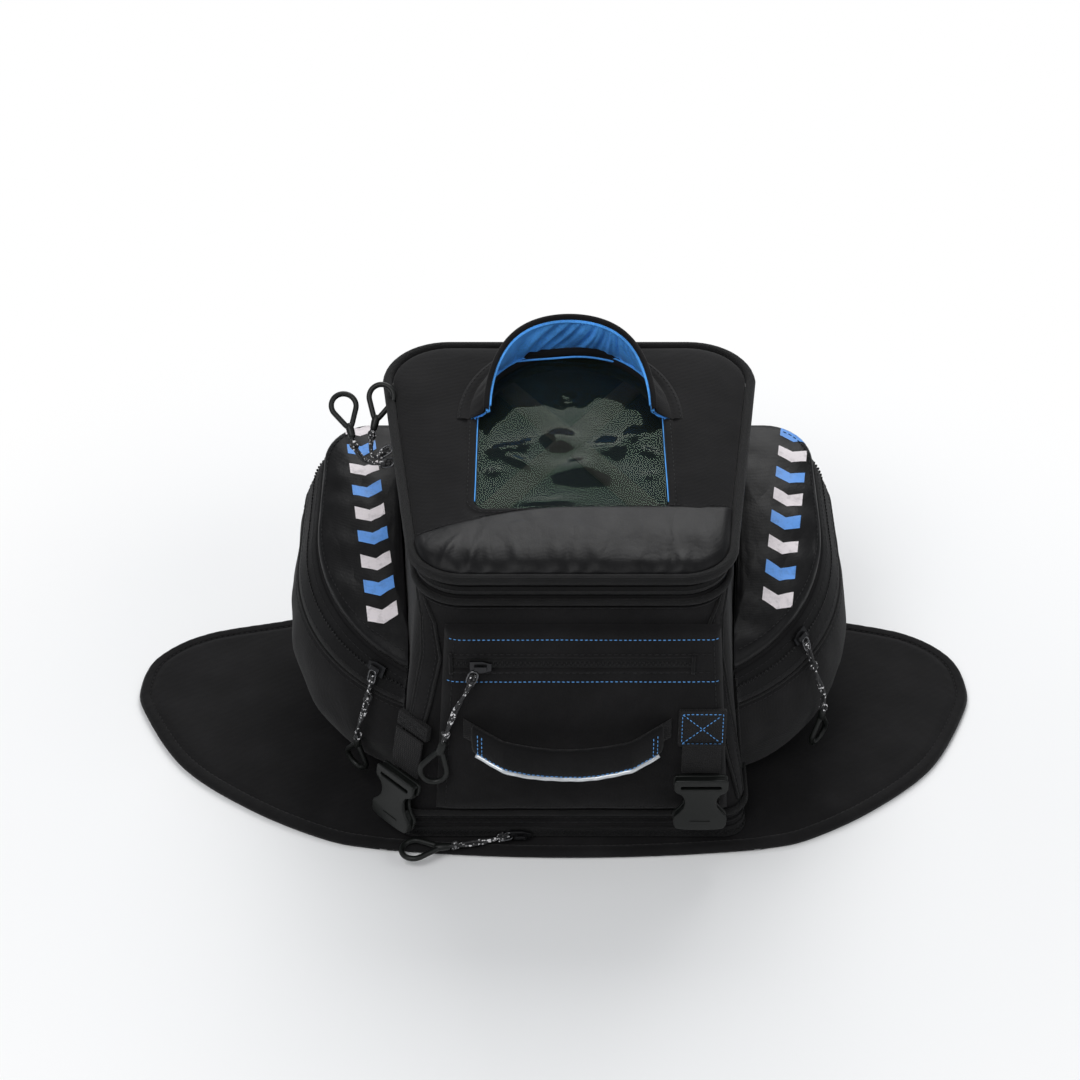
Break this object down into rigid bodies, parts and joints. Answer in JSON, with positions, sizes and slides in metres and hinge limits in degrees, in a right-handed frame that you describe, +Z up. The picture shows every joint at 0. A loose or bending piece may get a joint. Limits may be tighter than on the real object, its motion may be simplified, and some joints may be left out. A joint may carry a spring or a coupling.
{
  "type": "motorcycle tank bag",
  "caption": "Soft tapered tank bag on a winged magnetic base, with a zipped lid, map window, sun hood, side pockets, front pocket and grab handle.",
  "frame": {"origin": "bottom centre of the bag's footprint, on the surface it lies on", "axes": "+X to the rider's right, +Y away from the rider, +Z up"},
  "size_m": [0.6768, 0.3339, 0.2921],
  "materials": {
    "fabric_black": "woven, matte",
    "satin_black": "satin nylon",
    "lining_blue": "smooth lining",
    "grip_sheet": "matte, non-slip",
    "clear_film": "clear film",
    "plastic_black": "moulded",
    "slider_metal": "black enamel",
    "magnet_steel": "plated",
    "reflective_piping": "reflective",
    "board_black": "stiff board",
    "cord_flecked": "braided"
  },
  "bodies": {
    "bag": {"main_shell": "fabric_black", "base_panel": "fabric_black", "base_grip_sheet": "grip_sheet", "floor_board": "board_black", "base_zip_tape": "fabric_black", "base_piping": "satin_black", "rim_piping": "satin_black", "front_pocket": "fabric_black", "front_zip_tape": "fabric_black", "left_strap_patch": "fabric_black", "right_strap_patch": "fabric_black", "left_pocket": "fabric_black", "right_pocket": "fabric_black", "left_pocket_zip_tape": "fabric_black", "right_pocket_zip_tape": "fabric_black"},
    "lid": {"lid_panel": "fabric_black", "lid_gusset": "fabric_black", "lid_zip_tape": "fabric_black", "lid_piping": "satin_black", "window_film": "clear_film", "map_sleeve": "fabric_black", "map_elastic_cross": "fabric_black", "lid_front_pad": "satin_black", "sun_hood": "fabric_black", "sun_hood_lining": "lining_blue"},
    "handle": {"handle_webbing": "fabric_black", "handle_grip": "satin_black", "handle_reflector": "reflective_piping"},
    "left_wing_body": {"left_wing": "fabric_black", "left_wing_grip_sheet": "grip_sheet", "left_wing_magnet_1": "magnet_steel", "left_wing_magnet_2": "magnet_steel"},
    "left_strap_body": {"left_strap": "fabric_black", "left_buckle": "plastic_black"},
    "left_flap": {"left_pocket_lid": "satin_black"},
    "right_wing_body": {"right_wing": "fabric_black", "right_wing_grip_sheet": "grip_sheet", "right_wing_magnet_1": "magnet_steel", "right_wing_magnet_2": "magnet_steel"},
    "right_strap_body": {"right_strap": "fabric_black", "right_buckle": "plastic_black"},
    "right_flap": {"right_pocket_lid": "satin_black"},
    "lid_zip_far_slider_body": {"lid_zip_far_slider": "slider_metal"},
    "lid_zip_far_pull": {"lid_zip_far_pull_cord": "cord_flecked", "lid_zip_far_pull_loop": "plastic_black"},
    "lid_zip_near_slider_body": {"lid_zip_near_slider": "slider_metal"},
    "lid_zip_near_pull": {"lid_zip_near_pull_cord": "cord_flecked", "lid_zip_near_pull_loop": "plastic_black"},
    "front_zip_slider_body": {"front_zip_slider": "slider_metal"},
    "front_zip_pull": {"front_zip_pull_cord": "cord_flecked", "front_zip_pull_loop": "plastic_black"},
    "base_zip_slider_body": {"base_zip_slider": "slider_metal"},
    "base_zip_pull": {"base_zip_pull_cord": "cord_flecked", "base_zip_pull_loop": "plastic_black"},
    "left_pocket_zip_slider_body": {"left_pocket_zip_slider": "slider_metal"},
    "left_pocket_zip_pull": {"left_pocket_zip_pull_cord": "cord_flecked", "left_pocket_zip_pull_loop": "plastic_black"},
    "right_pocket_zip_slider_body": {"right_pocket_zip_slider": "slider_metal"},
    "right_pocket_zip_pull": {"right_pocket_zip_pull_cord": "cord_flecked", "right_pocket_zip_pull_loop": "plastic_black"}
  },
  "joints": [
    {"name": "left_wing_droop", "type": "hinge", "parent": "bag", "child": "left_wing_body", "pos_m": [-0.1382, 0, 0], "axis": [0, -1, 0], "range_deg": [0, 60]},
    {"name": "right_wing_droop", "type": "hinge", "parent": "bag", "child": "right_wing_body", "pos_m": [0.1382, 0, 0], "axis": [0, 1, 0], "range_deg": [0, 60]},
    {"name": "lid_hinge", "type": "hinge", "parent": "bag", "child": "lid", "pos_m": [0, 0.1562, 0.2292], "axis": [-1, 0, 0], "range_deg": [0, 100]},
    {"name": "handle_swing", "type": "hinge", "parent": "bag", "child": "handle", "pos_m": [0, -0.1355, 0.1193], "axis": [-1, 0, 0], "range_deg": [0, 100]},
    {"name": "left_strap_swing", "type": "hinge", "parent": "bag", "child": "left_strap_body", "pos_m": [-0.1165, -0.1244, 0.0988], "axis": [-0.7071, 0.7071, 0], "range_deg": [0, 90]},
    {"name": "right_strap_swing", "type": "hinge", "parent": "bag", "child": "right_strap_body", "pos_m": [0.095, -0.1405, 0.0988], "axis": [-1, 0, 0], "range_deg": [0, 90]},
    {"name": "left_flap_hinge", "type": "hinge", "parent": "bag", "child": "left_flap", "pos_m": [-0.1279, 0.025, 0.1716], "axis": [-0.0932, 0.9657, 0.2425], "range_deg": [0, 55]},
    {"name": "right_flap_hinge", "type": "hinge", "parent": "bag", "child": "right_flap", "pos_m": [0.1279, 0.025, 0.1716], "axis": [-0.0932, -0.9657, -0.2425], "range_deg": [0, 55]},
    {"name": "front_zip_slide", "type": "slide", "parent": "bag", "child": "front_zip_slider_body", "axis": [1, 0, 0], "range_m": [-0.012, 0.006]},
    {"name": "base_zip_slide", "type": "slide", "parent": "bag", "child": "base_zip_slider_body", "axis": [1, 0, 0], "range_m": [0, 0.1]},
    {"name": "lid_zip_far_slide", "type": "slide", "parent": "lid", "child": "lid_zip_far_slider_body", "axis": [-0.1375, 0.9882, 0.0679], "range_m": [0, 0.055]},
    {"name": "lid_zip_near_slide", "type": "slide", "parent": "lid", "child": "lid_zip_near_slider_body", "axis": [0.1375, -0.9882, -0.0679], "range_m": [0, 0.085]},
    {"name": "left_pocket_zip_slide", "type": "hinge", "parent": "bag", "child": "left_pocket_zip_slider_body", "pos_m": [-0.041, 0.038, 0.1595], "axis": [0, 0.2436, -0.9699], "range_deg": [0, 30]},
    {"name": "right_pocket_zip_slide", "type": "hinge", "parent": "bag", "child": "right_pocket_zip_slider_body", "pos_m": [0.041, 0.038, 0.1595], "axis": [0, -0.2436, 0.9699], "range_deg": [-14, 26]},
    {"name": "lid_zip_far_pull_swing", "type": "hinge", "parent": "lid_zip_far_slider_body", "child": "lid_zip_far_pull", "pos_m": [-0.1286, 0.0452, 0.2279], "axis": [0.9905, 0.1372, 0.0094], "range_deg": [0, 75]},
    {"name": "lid_zip_near_pull_swing", "type": "hinge", "parent": "lid_zip_near_slider_body", "child": "lid_zip_near_pull", "pos_m": [-0.1261, 0.0272, 0.2266], "axis": [0.9905, 0.1372, 0.0094], "range_deg": [0, 75]},
    {"name": "front_zip_pull_swing", "type": "hinge", "parent": "front_zip_slider_body", "child": "front_zip_pull", "pos_m": [-0.064, -0.1313, 0.1631], "axis": [-0.9201, 0.0533, 0.3881], "range_deg": [0, 90]},
    {"name": "base_zip_pull_swing", "type": "hinge", "parent": "base_zip_slider_body", "child": "base_zip_pull", "pos_m": [-0.037, -0.1436, 0.0121], "axis": [0, 0, 1], "range_deg": [0, 75]},
    {"name": "left_pocket_zip_pull_swing", "type": "hinge", "parent": "left_pocket_zip_slider_body", "child": "left_pocket_zip_pull", "pos_m": [-0.1412, -0.0848, 0.1227], "axis": [-0.7887, 0.5994, 0.1368], "range_deg": [0, 90]},
    {"name": "right_pocket_zip_pull_swing", "type": "hinge", "parent": "right_pocket_zip_slider_body", "child": "right_pocket_zip_pull", "pos_m": [0.1693, -0.0567, 0.1293], "axis": [-0.64, -0.7607, -0.1083], "range_deg": [0, 90]}
  ]
}
